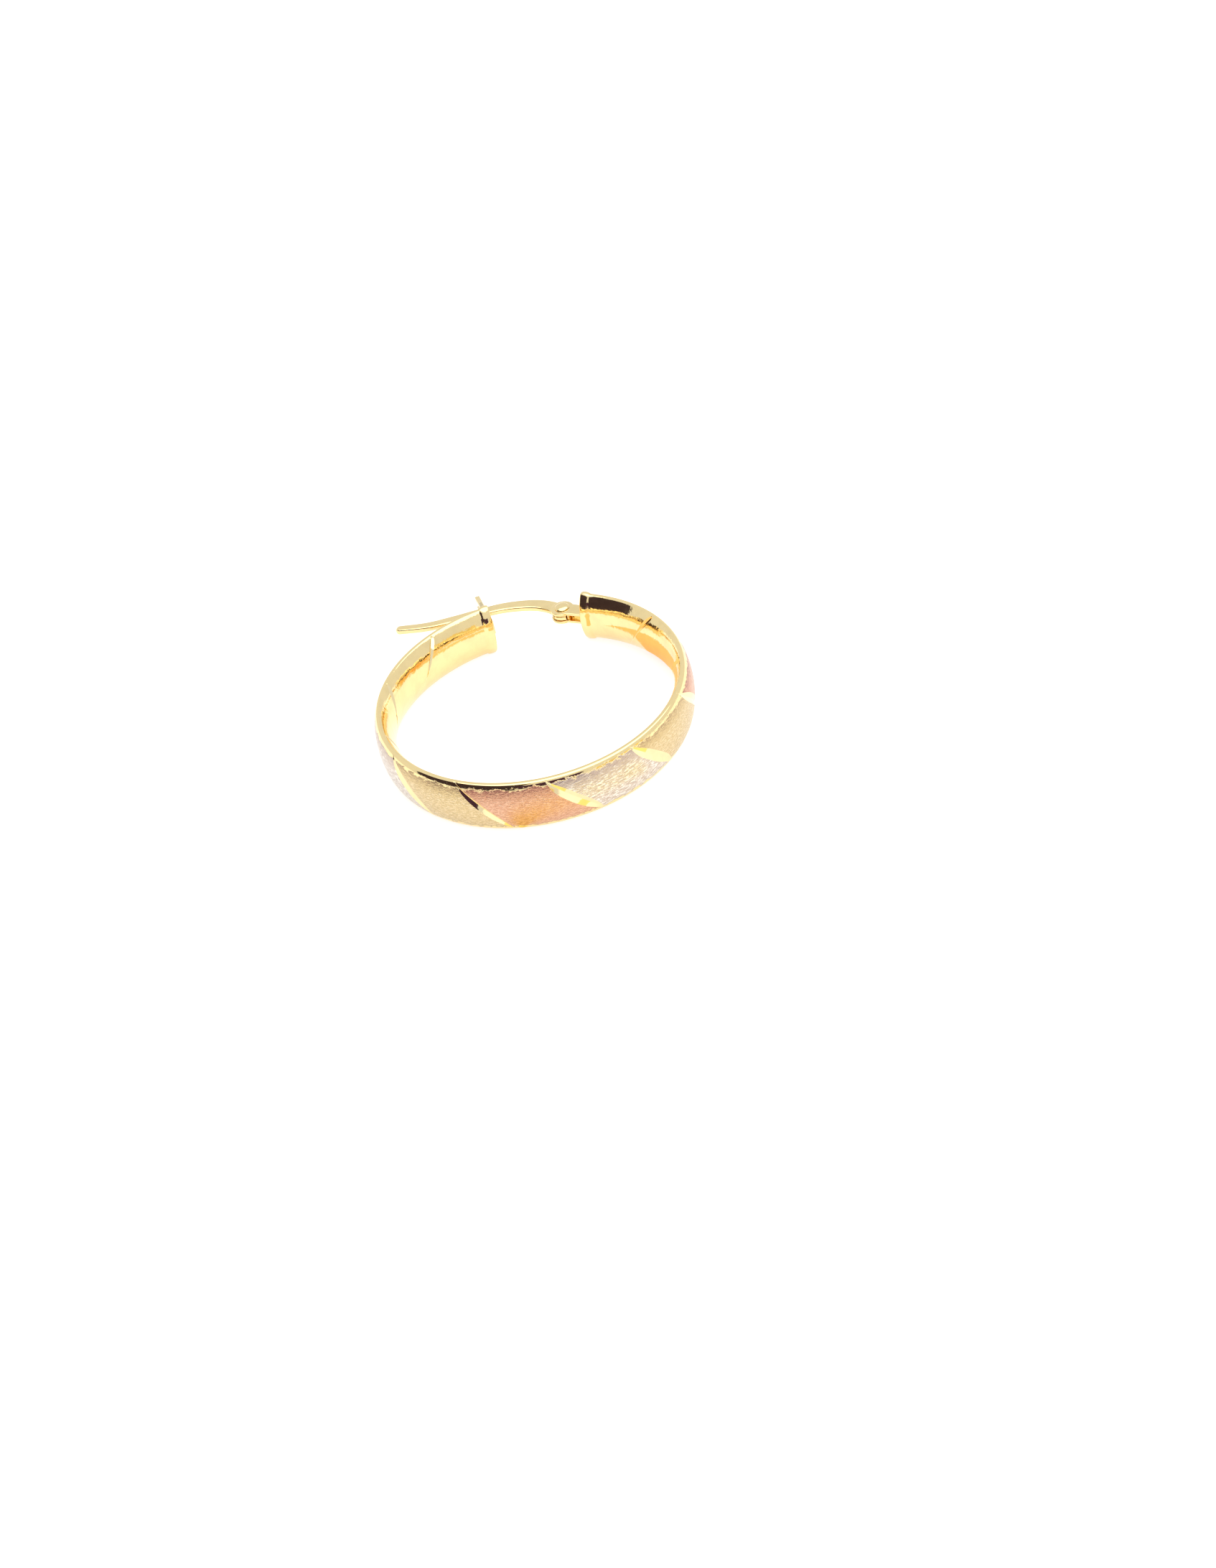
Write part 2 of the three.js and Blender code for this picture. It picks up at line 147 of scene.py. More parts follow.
def put_camera():
    data = bpy.data.cameras.new("camera")
    data.lens = CAMERA_LENS
    data.sensor_width = SENSOR
    data.clip_start = 1 * MM
    data.clip_end = 5000 * MM
    camera = bpy.data.objects.new("camera", data)
    bpy.context.scene.collection.objects.link(camera)
    turn = Matrix.Rotation(math.radians(CAMERA_TURN), 4, "Z")
    tip = Matrix.Rotation(math.radians(90 - CAMERA_ELEVATION), 4, "X")
    roll = Matrix.Rotation(math.radians(CAMERA_ROLL), 4, "Z")
    back = Matrix.Translation(Vector((CAMERA_ASIDE, CAMERA_BELOW, CAMERA_DISTANCE)) * MM)
    camera.matrix_world = Matrix.Translation(hoop_centre) @ turn @ tip @ roll @ back
    bpy.context.scene.camera = camera
    return camera


camera = put_camera()
print("camera at", [round(x / MM) for x in camera.matrix_world.translation], "mm")

# %% [markdown]
# ## Slots for the finishes
#
# A mesh knows its finishes by number, so the numbers get names here, and the materials themselves are
# made further down. Every piece carries the same list, in the same order.

# %% Finish numbers
POLISHED = 0
BRIGHT_CUT = 1
SATIN = {"white": 2, "yellow": 3, "rose": 4}
PANEL_ORDER = ("white", "yellow", "rose")
print("satin panels from the catch on:", PANEL_ORDER)

# %% [markdown]
# ## The slanting cuts
#
# A bright cut is made with a spinning diamond tool: it dips into the metal and leaves two mirror
# facets that meet in a valley. Each cut is a long leaf, widest in the middle of the tube's face, and
# it leans at 45 degrees. The inside has a thinner cut between each two outer ones, which is widest
# just under the upper rim. The fifth outer cut was struck more lightly.
#
# Two small formulas say how wide and deep a cut is at a height on the tube (1 is the upper rim, -1 the
# lower one), and a third says how far the valley lies off the cut's middle. A facet isn't quite flat:
# halfway down it, the round tool has already taken a little more than half of the depth.

# %% Cut forms
OUTER_CUTS = 10
CUT_SLANT = 4.2
CUT_END_MARGIN = 0.25
OUTER_CUT_WIDTH = 1.2
OUTER_CUT_DEPTH = 0.17
INNER_CUT_WIDTH = 0.6
INNER_CUT_DEPTH = 0.13
INNER_CUT_SHIFT = 0.68
INNER_CUT_SLANT = 0.9
LIGHT_CUT = 5
LIGHT_CUT_STRENGTH = 0.65
LIGHT_CUT_DEPTH = 0.95
END_LEAN = 0.04
HOLLOW_FACET = 0.54


def degrees_of(length, radius=OUTER_RADIUS):
    return math.degrees(length / radius)


def outer_leaf(height):
    return (1 - min(abs(height), 1) ** 3) ** 1.5


def outer_valley(height):
    return 0.1 - 0.25 * height


def inner_leaf(height):
    towards_rim = 1 - min(abs(height), 1) ** 12
    return towards_rim * (0.1 + 0.9 * math.exp(-(((0.8 - height) / 0.75) ** 2)))


HALF_SLANT = degrees_of(CUT_SLANT / 2)
print("leaf widths from rim to middle:", [round(outer_leaf(h / 5) * OUTER_CUT_WIDTH, 2) for h in range(6)])


# %% [markdown]
# ## Rings along the tube
#
# The tube will be spun from one oval section, which gives evenly spaced rings. This cell lists where
# each of those rings has to go: a few close together on a collar, five on every cut (edge, facet,
# valley, facet, edge), and the rest spread evenly between their neighbours, so that they flow round the
# leaves. The ends of the tube lean a little the same way as the cuts.

# %% Ring list
RING_SPACING = 1.1
COLLAR_PROFILE = (
    (0.0, 0.04), (0.03, 0.08), (0.1, 0.11), (0.22, 0.135), (0.38, 0.14),
    (0.54, 0.13), (0.67, 0.1), (0.77, 0.05), (COLLAR_LENGTH, 0.0),
)
CUT_SIDES = (-1, -0.5, 0, 0.5, 1)


def fixed_ring(degrees, slant=0.0, flare=0.0, face=None, side=0, strength=1.0):
    return {"degrees": degrees, "slant": slant, "flare": flare, "face": face, "side": side,
            "strength": strength}


def collar_rings(end_angle, direction):
    return [fixed_ring(end_angle + direction * degrees_of(distance, TUBE_RADIUS), END_LEAN, flare)
            for distance, flare in COLLAR_PROFILE]


def cut_rings(degrees, face, strength):
    slant = 1.0 if face == "outer" else INNER_CUT_SLANT
    return [fixed_ring(degrees, slant, 0.0, face, side, strength) for side in CUT_SIDES]


def spread_between(before, after):
    count = max(1, round((after["degrees"] - before["degrees"]) / RING_SPACING))
    return [{"between": (before, after), "share": k / count, "flare": 0.0, "face": None}
            for k in range(1, count)]


def ring_list():
    collar = degrees_of(COLLAR_LENGTH, TUBE_RADIUS)
    first = CATCH_ANGLE + collar + degrees_of(CUT_END_MARGIN) + HALF_SLANT
    last = HINGE_ANGLE - (first - CATCH_ANGLE)
    pitch = (last - first) / (OUTER_CUTS - 1)
    inner_shift = pitch / 2 + degrees_of(INNER_CUT_SHIFT)
    rings = collar_rings(CATCH_ANGLE, 1)
    for number in range(1, OUTER_CUTS + 1):
        degrees = first + (number - 1) * pitch
        strength = LIGHT_CUT_STRENGTH if number == LIGHT_CUT else 1.0
        outer = cut_rings(degrees, "outer", strength)
        rings += spread_between(rings[-1], outer[0]) + outer
        if number < OUTER_CUTS:
            inner = cut_rings(degrees + inner_shift, "inner", 1.0)
            rings += spread_between(rings[-1], inner[0]) + inner
    end = collar_rings(HINGE_ANGLE, -1)[::-1]
    return rings + spread_between(rings[-1], end[0]) + end


rings = ring_list()
print(len(rings), "rings along the tube")


# %% [markdown]
# ## Where a ring lies at a height
#
# A ring leans with the cuts, so its place along the hoop depends on the height. An edge ring steps
# aside by half the leaf's width, the valley ring sinks into the metal, and a facet ring lies midway
# between an edge and the valley.

# %% Ring places
def leaf_of(ring, height):
    return (outer_leaf if ring["face"] == "outer" else inner_leaf)(height) * ring["strength"]


def ring_degrees(ring, height):
    if "between" in ring:
        before, after = ring["between"]
        start = ring_degrees(before, height)
        return start + (ring_degrees(after, height) - start) * ring["share"]
    degrees = ring["degrees"] - ring["slant"] * HALF_SLANT * height
    if ring["face"] is None:
        return degrees
    width = OUTER_CUT_WIDTH if ring["face"] == "outer" else INNER_CUT_WIDTH
    valley = outer_valley(height) if ring["face"] == "outer" else 0.0
    aside = math.copysign(1, ring["side"]) * abs(ring["side"]) + valley * (1 - abs(ring["side"]))
    return degrees + degrees_of(leaf_of(ring, height) * width / 2 * aside)


def valley_depth(ring, height, on_outside):
    cut_here = ring["face"] == ("outer" if on_outside else "inner")
    if not cut_here or abs(ring["side"]) == 1 or abs(height) > 0.999:
        return 0.0
    depth = OUTER_CUT_DEPTH if on_outside else INNER_CUT_DEPTH
    if ring["strength"] < 1:
        depth *= LIGHT_CUT_DEPTH / ring["strength"]
    return leaf_of(ring, height) * depth * (HOLLOW_FACET if ring["side"] else 1.0)


light_valley = cut_rings(0, "outer", LIGHT_CUT_STRENGTH)[2]
print("the fifth cut is", round(valley_depth(light_valley, 0, True), 3), "mm deep")

# %% [markdown]
# ## The oval section
#
# The tube isn't a plain ellipse. Its outer face is a low dome for the satin, and its inner face a
# fuller one. A shoulder of 0.5 would make a dome an ellipse and one of 1 a parabola; both come down to
# the rims in between, where a polisher leaves a narrow flat.
# The section starts as a plain circle of points, whose height and width are then eased into that shape,
# and it is turned upright and moved out to the radius of the rims.

# %% Section
SECTION_POINTS = 96
RIM_ANGLE = math.radians(11)
OUTER_SHOULDER = 0.65
INNER_SHOULDER = 0.85


def dome(height, on_outside):
    """How far a face stands off the rim flat at a height."""
    rise = (OUTER_DOME if on_outside else INNER_DOME) - RIM_FLAT / 2
    return rise * (1 - height * height) ** (OUTER_SHOULDER if on_outside else INNER_SHOULDER)


def oval_section(bm):
    made = bmesh.ops.create_circle(bm, segments=SECTION_POINTS, radius=1.0)
    verts = made["verts"]
    for vert in verts:
        height = max(-1.0, min(1.0, vert.co.y / math.cos(RIM_ANGLE)))
        flat = RIM_FLAT / 2 * min(1.0, abs(vert.co.x) / math.sin(RIM_ANGLE))
        vert.co.x = math.copysign(flat + dome(height, vert.co.x > 0), vert.co.x)
        vert.co.y = HALF_WIDTH * height
    bmesh.ops.rotate(bm, matrix=Matrix.Rotation(math.pi / 2, 3, "X"), verts=verts)
    bmesh.ops.translate(bm, vec=(TUBE_RADIUS, 0, 0), verts=verts)
    bmesh.ops.rotate(bm, matrix=Matrix.Rotation(math.radians(CATCH_ANGLE), 3, "Z"), verts=verts)
    return verts


print("section:", SECTION_POINTS, "points,", TUBE_WIDTH, "by", OUTER_DOME + INNER_DOME, "mm")

# %% [markdown]
# ## Spinning the tube
#
# Spinning the section round the hoop's axis makes the whole tube in one step, with one ring for each
# entry of the list. Each face gets its finish while the rings are still evenly spaced, because there
# the angle alone says which ring a face belongs to. After that every ring slides to its own place.

# %% Tube blank
STEP = (HINGE_ANGLE - CATCH_ANGLE) / (len(rings) - 1)


def steps_along(point):
    angle = math.degrees(math.atan2(point.y, point.x)) - CATCH_ANGLE
    return ((angle + STEP) % 360 - STEP) / STEP


def outside_of_tube(point):
    return math.hypot(point.x, point.y) > TUBE_RADIUS


def tube_blank():
    bm = bmesh.new()
    verts = oval_section(bm)
    geom = verts + list({edge for vert in verts for edge in vert.link_edges})
    bmesh.ops.spin(bm, geom=geom, cent=(0, 0, 0), axis=(0, 0, 1), dvec=(0, 0, 0),
                   angle=math.radians(HINGE_ANGLE - CATCH_ANGLE), steps=len(rings) - 1, use_merge=False)
    return bm


tube = tube_blank()
print("blank has", len(tube.faces), "faces")


# %% [markdown]
# ## A finish for each face
#
# A face of a leaf is a bright cut, the inside and the collars are polished, and the rest of the outside
# is satin. Counting the outer cuts that have been passed tells which panel a satin face belongs to.

# %% Finish of each face
def interval_finish(before, after, on_outside, panel):
    face = "outer" if on_outside else "inner"
    if before["face"] == face and after["face"] == face:
        return BRIGHT_CUT
    if not on_outside or before["flare"] or after["flare"]:
        return POLISHED
    return SATIN[PANEL_ORDER[panel % len(PANEL_ORDER)]]


def finish_faces(bm):
    passed = []
    count = 0
    for ring in rings:
        passed.append(count)
        count += ring["face"] == "outer" and ring["side"] == 0
    for face in bm.faces:
        middle = face.calc_center_median()
        k = int(steps_along(middle))
        face.material_index = interval_finish(rings[k], rings[k + 1], outside_of_tube(middle), passed[k + 1])


finish_faces(tube)
print("panels end at cut number", sum(r["face"] == "outer" and r["side"] == 0 for r in rings))


# %% [markdown]
# ## Sliding the rings to their places
#
# Two values are kept for every point: its number of degrees along the hoop, for a map that follows the
# surface, and the number of its ring, so that the edges of the cuts can be marked as sharp.

# %% Slide
def slide_rings(bm):
    ring_number = bm.verts.layers.int.new("ring")
    along = bm.verts.layers.float.new("along")
    for vert in bm.verts:
        k = round(steps_along(vert.co))
        ring = rings[k]
        out = math.hypot(vert.co.x, vert.co.y) - TUBE_RADIUS
        height = max(-1.0, min(1.0, vert.co.z / HALF_WIDTH))
        degrees = ring_degrees(ring, height)
        radius = TUBE_RADIUS + out * (1 + ring["flare"] / (OUTER_DOME if out > 0 else INNER_DOME))
        radius -= math.copysign(valley_depth(ring, height, out > 0), out)
        vert.co = on_hoop(degrees, radius, vert.co.z * (1 + ring["flare"] / HALF_WIDTH))
        vert[ring_number] = k
        vert[along] = math.radians(degrees) * OUTER_RADIUS


slide_rings(tube)
print("tube spans", round(max(v.co.x for v in tube.verts) * 2, 2), "mm across")


# %% [markdown]
# ## Crisp edges
#
# Smooth shading would melt the facets into the dome around them. Marking the two edges of each cut and
# its valley as sharp keeps the light apart on either side, as on a freshly cut edge.

# %% Sharp edges of the cuts
def mark_cut_edges(bm):
    ring_number = bm.verts.layers.int["ring"]
    marked = 0
    for edge in bm.edges:
        first, second = edge.verts
        ring = rings[first[ring_number]]
        if first[ring_number] != second[ring_number] or ring["face"] is None or abs(ring["side"]) == 0.5:
            continue
        middle = (first.co + second.co) / 2
        if outside_of_tube(middle) == (ring["face"] == "outer") and abs(middle.z) < HALF_WIDTH * 0.99:
            edge.smooth = False
            marked += 1
    return marked


print("sharp edges on the cuts:", mark_cut_edges(tube))


# %% [markdown]
# ## A map that follows the tube
#
# The satin grain runs in short strokes that keep their direction all the way round the hoop, so its
# pattern needs a flat map of the surface: millimetres along the hoop one way and height the other.

# %% Map and ends
def close_ends(bm):
    rim = [edge for edge in bm.edges if edge.is_boundary]
    bmesh.ops.holes_fill(bm, edges=rim, sides=0)
    for edge in rim:
        edge.smooth = False
    return len(rim)


def lay_map(bm):
    along = bm.verts.layers.float["along"]
    layer = bm.loops.layers.uv.new("lay")
    for face in bm.faces:
        for loop in face.loops:
            loop[layer].uv = (loop.vert[along], loop.vert.co.z)


print("edges closed at the two ends:", close_ends(tube))
lay_map(tube)

# %% [markdown]
# ## From millimetres to a finished piece
#
# Every piece ends the same way. Doubled points are merged, faces are turned outwards, and the mesh is
# scaled to metres and moved to the hoop's place, so that the object itself stays at the origin. Then it
# is hung on the body it moves with and gets the list of finishes, and the part of the imported model it
# stands for is hidden.

# %% Finishing a piece
finishes = []
SHARP_ANGLE = math.radians(50)


def mark_sharp(bm):
    for edge in bm.edges:
        if len(edge.link_faces) == 2 and edge.calc_face_angle() > SHARP_ANGLE:
            edge.smooth = False


def finish_piece(bm, name, body, node):
    bmesh.ops.remove_doubles(bm, verts=bm.verts, dist=1e-5)
    bmesh.ops.recalc_face_normals(bm, faces=bm.faces)
    mark_sharp(bm)
    bmesh.ops.transform(bm, matrix=Matrix.Translation(hoop_centre) @ Matrix.Scale(MM, 4), verts=bm.verts)
    for face in bm.faces:
        face.smooth = True
    mesh = bpy.data.meshes.new(name)
    bm.to_mesh(mesh)
    bm.free()
    piece = bpy.data.objects.new(name, mesh)
    bpy.context.scene.collection.objects.link(piece)
    for material in finishes:
        mesh.materials.append(material)
    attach(piece, body)
    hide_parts(node)
    print(name, "has", len(mesh.polygons), "faces")
    return piece


# %% [markdown]
# ## Gold
#
# Gold is a metal, so its colour is the colour of its reflections. Yellow gold returns nearly all the
# red light, less green and a third of the blue; two reflections in a row, as inside the hoop, make a
# deep orange by themselves. Small helpers make the nodes, so that each finish below reads as a recipe.

# %% Node helpers
YELLOW_GOLD = (0.955, 0.735, 0.36, 1)
ROSE_GOLD = (0.66, 0.34, 0.2, 1)
WHITE_GOLD = (0.59, 0.46, 0.35, 1)


class Recipe:
    """A material being put together: its shader, and short ways to add the nodes that feed it."""

    def __init__(self, name):
        self.material = bpy.data.materials.new(name)
        self.material.use_nodes = True
        self.nodes = self.material.node_tree.nodes
        self.links = self.material.node_tree.links
        self.shader = self.nodes["Principled BSDF"]
        self.shader.inputs["Metallic"].default_value = 1.0

    def add(self, kind, values, **settings):
        node = self.nodes.new(kind)
        for name, value in settings.items():
            setattr(node, name, value)
        for socket, value in values.items():
            self.feed(value, node.inputs[socket])
        return node

    def feed(self, value, socket):
        if isinstance(value, bpy.types.NodeSocket):
            self.links.new(value, socket)
        else:
            socket.default_value = value

    def place(self):
        return self.add("ShaderNodeTexCoord", {}).outputs["Object"]

    def lay(self, turn=0.0, scale=(1, 1, 1)):
        uv = self.add("ShaderNodeUVMap", {}, uv_map="lay").outputs["UV"]
        mapping = {"Vector": uv, "Rotation": (0, 0, math.radians(turn)), "Scale": scale}
        return self.add("ShaderNodeMapping", mapping).outputs["Vector"]

    def noise(self, vector, scale, detail=2.0):
        values = {"Vector": vector, "Scale": scale, "Detail": detail, "Roughness": 0.6}
        return self.add("ShaderNodeTexNoise", values).outputs["Fac"]

    def between(self, value, low, high, start=0.0, end=1.0):
        values = {"Value": value, "From Min": low, "From Max": high, "To Min": start, "To Max": end}
        return self.add("ShaderNodeMapRange", values, interpolation_type="SMOOTHSTEP").outputs["Result"]

    def math(self, operation, first, second=0.0):
        node = self.add("ShaderNodeMath", {0: first, 1: second}, operation=operation)
        return node.outputs["Value"]

    def blend(self, share, first, second):
        node = self.nodes.new("ShaderNodeMix")
        node.data_type = "RGBA"
        sockets = {socket.identifier: socket for socket in node.inputs}
        self.feed(share, sockets["Factor_Float"])
        self.feed(first, sockets["A_Color"])
        self.feed(second, sockets["B_Color"])
        return next(socket for socket in node.outputs if socket.identifier == "Result_Color")

    def bump(self, height, distance):
        values = {"Height": height, "Distance": distance * MM, "Strength": 1.0}
        return self.add("ShaderNodeBump", values).outputs["Normal"]

    def mottle(self, scale):
        return self.between(self.noise(self.place(), scale), 0.3, 0.7)


print("yellow, rose and white gold return", YELLOW_GOLD[:3], ROSE_GOLD[:3], WHITE_GOLD[:3])


# %% [markdown]
# ## Polished gold
#
# The inside, the collars, the hinge and the wire are polished by hand on a wheel. That leaves a mirror
# with faint waves, which make the lines reflected in it slightly ragged, and a haze of hairlines.

# %% Polished gold
BRIGHT_GOLD = (0.97, 0.77, 0.42, 1)
WAVE_SCALE = 900.0
HAIRLINE_SCALE = 9000.0
DEEPER = 0.93


def polished_gold(name, colour, roughness, wave_height):
    recipe = Recipe(name)
    place = recipe.place()
    waves = recipe.noise(place, WAVE_SCALE, 3.0)
    hairlines = recipe.noise(place, HAIRLINE_SCALE, 1.0)
    deeper = tuple(c * DEEPER for c in colour[:3]) + (1,)
    tint = recipe.blend(recipe.between(waves, 0.35, 0.7), colour, deeper)
    recipe.feed(tint, recipe.shader.inputs["Base Color"])
    rough = recipe.between(hairlines, 0.3, 0.75, roughness, roughness * 2)
    recipe.feed(rough, recipe.shader.inputs["Roughness"])
    recipe.feed(recipe.bump(waves, wave_height), recipe.shader.inputs["Normal"])
    return recipe.material


finishes.append(polished_gold("polished_yellow_gold", YELLOW_GOLD, 0.06, 0.03))
finishes.append(polished_gold("bright_cut_gold", BRIGHT_GOLD, 0.03, 0.008))
print("polished finishes:", [m.name for m in finishes])

# %% [markdown]
# ## Marks of the wire wheel
#
# A panel is made matt with a wire wheel that leaves short slanting strokes. The strokes are a noise
# stretched on the map, with a little even grain between them. They are longer on the white gold.

# %% Wheel marks
STROKE_TURN = -35
LONG_STROKES = (2.2, 8.0, 1.0)
FINE_STROKES = (2.8, 11.0, 1.0)
STROKE_SHARE = 0.7
STROKE_HEIGHT = 0.06
GRAIN_SCALE = 9.0


def wheel_marks(recipe, stroke_size):
    strokes = recipe.noise(recipe.lay(STROKE_TURN, stroke_size), 1.0, 3.0)
    grain = recipe.noise(recipe.lay(), GRAIN_SCALE, 3.0)
    return recipe.math("ADD", recipe.math("MULTIPLY", strokes, STROKE_SHARE),
                       recipe.math("MULTIPLY", grain, 1 - STROKE_SHARE))


print("the strokes lean by", STROKE_TURN, "degrees")

# %% [markdown]
# ## Where the satin ends
#
# The wheel doesn't reach the rims themselves, so the satin breaks up there into polished yellow gold
# along a ragged line. A threshold on the distance from the tube's middle, with noise, says how bare the
# metal is: 0 on the panel and 1 on the rim.

# %% Bare rims
SATIN_REACH = 1.72
RAGGED = 1.1
RAG_STRETCH = (1.0, 2.0, 1.0)
RAG_SCALE = 1.6
RAG_SOFTNESS = 0.08
SPECKLE = 0.6


def bare_rims(recipe, marks, height):
    rag = recipe.noise(recipe.lay(0, RAG_STRETCH), RAG_SCALE, 6.0)
    speckle = recipe.math("MULTIPLY", marks, SPECKLE)
    reach = recipe.math("ADD", recipe.math("ABSOLUTE", height), recipe.math("MULTIPLY", rag, RAGGED))
    limit = SATIN_REACH + (RAGGED + SPECKLE) / 2
    return recipe.between(recipe.math("ADD", reach, speckle), limit - RAG_SOFTNESS, limit + RAG_SOFTNESS)


print("the satin ends about", SATIN_REACH, "mm from the middle of the tube")

# %% [markdown]
# ## Satin gold
#
# The marks work three ways: as bump, as a change of roughness and as lighter glints, which are painted
# highlights in the colour. Near the upper rim darker strokes are painted in as shade, for the dark
# surroundings that the top of a panel reflects, and the painted highlights thin out there.

# %% Satin gold
YELLOW_SATIN = (0.66, 0.48, 0.23, 1)
# Painted shade: darker streaks of the shade colour near the upper rim, for the dark surroundings reflected
# there.
SHADE_STREAK_STRENGTH = 4.0
SHADE_STREAK_RANGE = (-0.75, -0.1)
# Painted highlights: lighter glints of the highlight colour where the marks rise.
PAINTED_HIGHLIGHT_RANGE = (0.42, 0.62)
THINNING = {"low": 0.6, "high": 1.5, "start": 0.0, "end": 0.1}
RIM_ROUGHNESS = 0.07


# shade is the colour of the painted shade and light that of the painted highlights.
def satin_colour(recipe, marks, height, shade, colour, light):
    # painted shade: high on the panel, where the marks are low, the colour turns to the shade colour
    painted_shade_streaks = recipe.math("SUBTRACT", height, recipe.math("MULTIPLY", marks, SHADE_STREAK_STRENGTH))
    body = recipe.blend(recipe.between(painted_shade_streaks, *SHADE_STREAK_RANGE), colour, shade)
    fewer = recipe.between(height, **THINNING)
    # painted highlights: where the marks rise the colour turns lighter, and less so towards the upper rim
    painted_highlight = recipe.between(recipe.math("SUBTRACT", marks, fewer), *PAINTED_HIGHLIGHT_RANGE)
    return recipe.blend(painted_highlight, body, light)


def satin_gold(name, shade, colour, light, roughness, stroke_size):
    recipe = Recipe(name)
    height = recipe.add("ShaderNodeSeparateXYZ", {"Vector": recipe.lay()}).outputs["Y"]
    marks = wheel_marks(recipe, stroke_size)
    bare = bare_rims(recipe, marks, height)
    wheeled = recipe.math("SUBTRACT", 1.0, bare)
    satin = satin_colour(recipe, marks, height, shade, colour, light)
    recipe.feed(recipe.blend(bare, satin, YELLOW_GOLD), recipe.shader.inputs["Base Color"])
    matt = recipe.between(marks, 0.35, 0.7, roughness * 1.15, roughness * 0.8)
    rough = recipe.math("ADD", recipe.math("MULTIPLY", matt, wheeled), RIM_ROUGHNESS)
    recipe.feed(rough, recipe.shader.inputs["Roughness"])
    relief = recipe.math("MULTIPLY", marks, wheeled)
    recipe.feed(recipe.bump(relief, STROKE_HEIGHT), recipe.shader.inputs["Normal"])
    return recipe.material


# Each satin gets a painted shade colour, its own colour, and a painted highlight colour.
finishes.append(satin_gold(
    "satin_white_gold", (0.54, 0.41, 0.33, 1), WHITE_GOLD, (0.92, 0.85, 0.75, 1), 0.15, LONG_STROKES))
finishes.append(satin_gold(
    "satin_yellow_gold", (0.5, 0.34, 0.18, 1), YELLOW_SATIN, (0.82, 0.65, 0.39, 1), 0.16, FINE_STROKES))
finishes.append(satin_gold(
    "satin_rose_gold", (0.46, 0.2, 0.14, 1), ROSE_GOLD, (0.82, 0.51, 0.34, 1), 0.15, FINE_STROKES))
print("finishes:", [m.name for m in finishes])

# %% [markdown]
# ## The tube becomes a piece
#
# With its finishes at hand, the tube can be finished like every other piece.

# %% The tube as a piece
finish_piece(tube, "hoop_tube", "hoop", "hoop")

# %% [markdown]
# ## The hinge lugs
#
# Two thin plates are soldered to the tube's end, and the wire's eye turns between them. A lug is a
# disc with a neck: it starts as a flat disc, and the part of its rim that faces the tube is pulled
# straight back into the end wall. It is then made thick, and its edge is rounded a little.

# %% Lugs
LUG_DIAMETER = 1.9
LUG_NECK_WIDTH = 1.3
LUG_THICKNESS = 0.22
LUG_ROOT = 0.35
LUG_EDGE = 0.05
WIRE_THICKNESS = 0.45
EYE_SIDE_PLAY = 0.03
LUG_INNER_HEIGHT = WIRE_THICKNESS / 2 + EYE_SIDE_PLAY


def pull_neck(verts, reach):
    neck_angle = math.asin(LUG_NECK_WIDTH / LUG_DIAMETER)
    for vert in verts:
        angle = math.atan2(vert.co.y, vert.co.x)
        if abs(angle) < neck_angle:
            vert.co.x = reach
            vert.co.y = LUG_NECK_WIDTH / 2 * angle / neck_angle


def lug(bm, bottom):
    back = hinge_centre - pivot
    disc = bmesh.ops.create_circle(bm, cap_ends=True, segments=72, radius=LUG_DIAMETER / 2)["verts"]
    pull_neck(disc, back.length + LUG_ROOT)
    face = disc[0].link_faces[0]
    raised = bmesh.ops.extrude_face_region(bm, geom=[face])["geom"]
    top = [v for v in raised if isinstance(v, bmesh.types.BMVert)]
    bmesh.ops.translate(bm, vec=(0, 0, LUG_THICKNESS), verts=top)
    rims = [e for v in disc + top for e in v.link_edges if abs(e.verts[0].co.z - e.verts[1].co.z) < 1e-6]
    rounded = bmesh.ops.bevel(bm, geom=list(set(rims)), offset=LUG_EDGE, segments=3, profile=0.5,
                              affect="EDGES", material=-1)
    plate = list(set(disc + top + rounded["verts"]))
    plate = [v for v in plate if v.is_valid]
    turn = Matrix.Rotation(math.atan2(back.y, back.x), 3, "Z")
    bmesh.ops.rotate(bm, matrix=turn, verts=plate)
    bmesh.ops.translate(bm, vec=(pivot.x, pivot.y, bottom), verts=plate)


def hinge_lugs():
    parts = bmesh.new()
    for bottom in (LUG_INNER_HEIGHT, -LUG_INNER_HEIGHT - LUG_THICKNESS):
        bm = bmesh.new()
        lug(bm, bottom)
        mesh = bpy.data.meshes.new("lug")
        bm.to_mesh(mesh)
        bm.free()
        parts.from_mesh(mesh)
        bpy.data.meshes.remove(mesh)
    return parts


finish_piece(hinge_lugs(), "hinge_lugs", "hoop", "hoop")

# %% [markdown]
# ## The rivet
#
# The rivet is a turned pin with a low dome on each side, so half of its outline is drawn from a few
# points and spun round the pivot.

# %% Rivet
RIVET_PIN_DIAMETER = 0.66
RIVET_HEAD_DIAMETER = 1.2
RIVET_HEAD_HEIGHT = 0.22
RIVET_SEAT_GAP = 0.02
DOME = (
    (1.0, 0.0), (1.0, 0.16), (0.97, 0.34), (0.9, 0.54), (0.78, 0.72),
    (0.6, 0.87), (0.38, 0.96), (0.18, 0.99), (0.0, 1.0),
)


